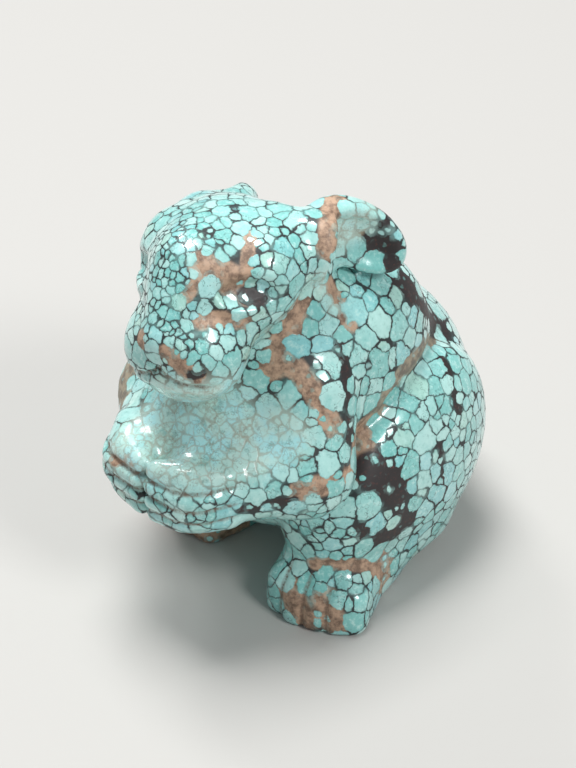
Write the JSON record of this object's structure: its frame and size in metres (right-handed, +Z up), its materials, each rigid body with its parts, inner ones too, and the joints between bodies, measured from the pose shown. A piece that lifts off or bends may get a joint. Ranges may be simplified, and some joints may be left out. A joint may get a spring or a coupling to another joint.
{
  "type": "rabbit carving",
  "caption": "Small sitting rabbit carved from polished spiderweb turquoise, ears laid back, forepaws pressed together in front of its chest.",
  "frame": {"origin": "middle of the carving's bounding box, at the level of the ground it sits on", "axes": "+Z up, the rabbit faces -Y, and +X points to its own left side"},
  "size_m": [0.0242, 0.033, 0.0327],
  "materials": {
    "turquoise": "polished"
  },
  "bodies": {
    "root": {"rabbit_carving": "turquoise"}
  },
  "joints": []
}
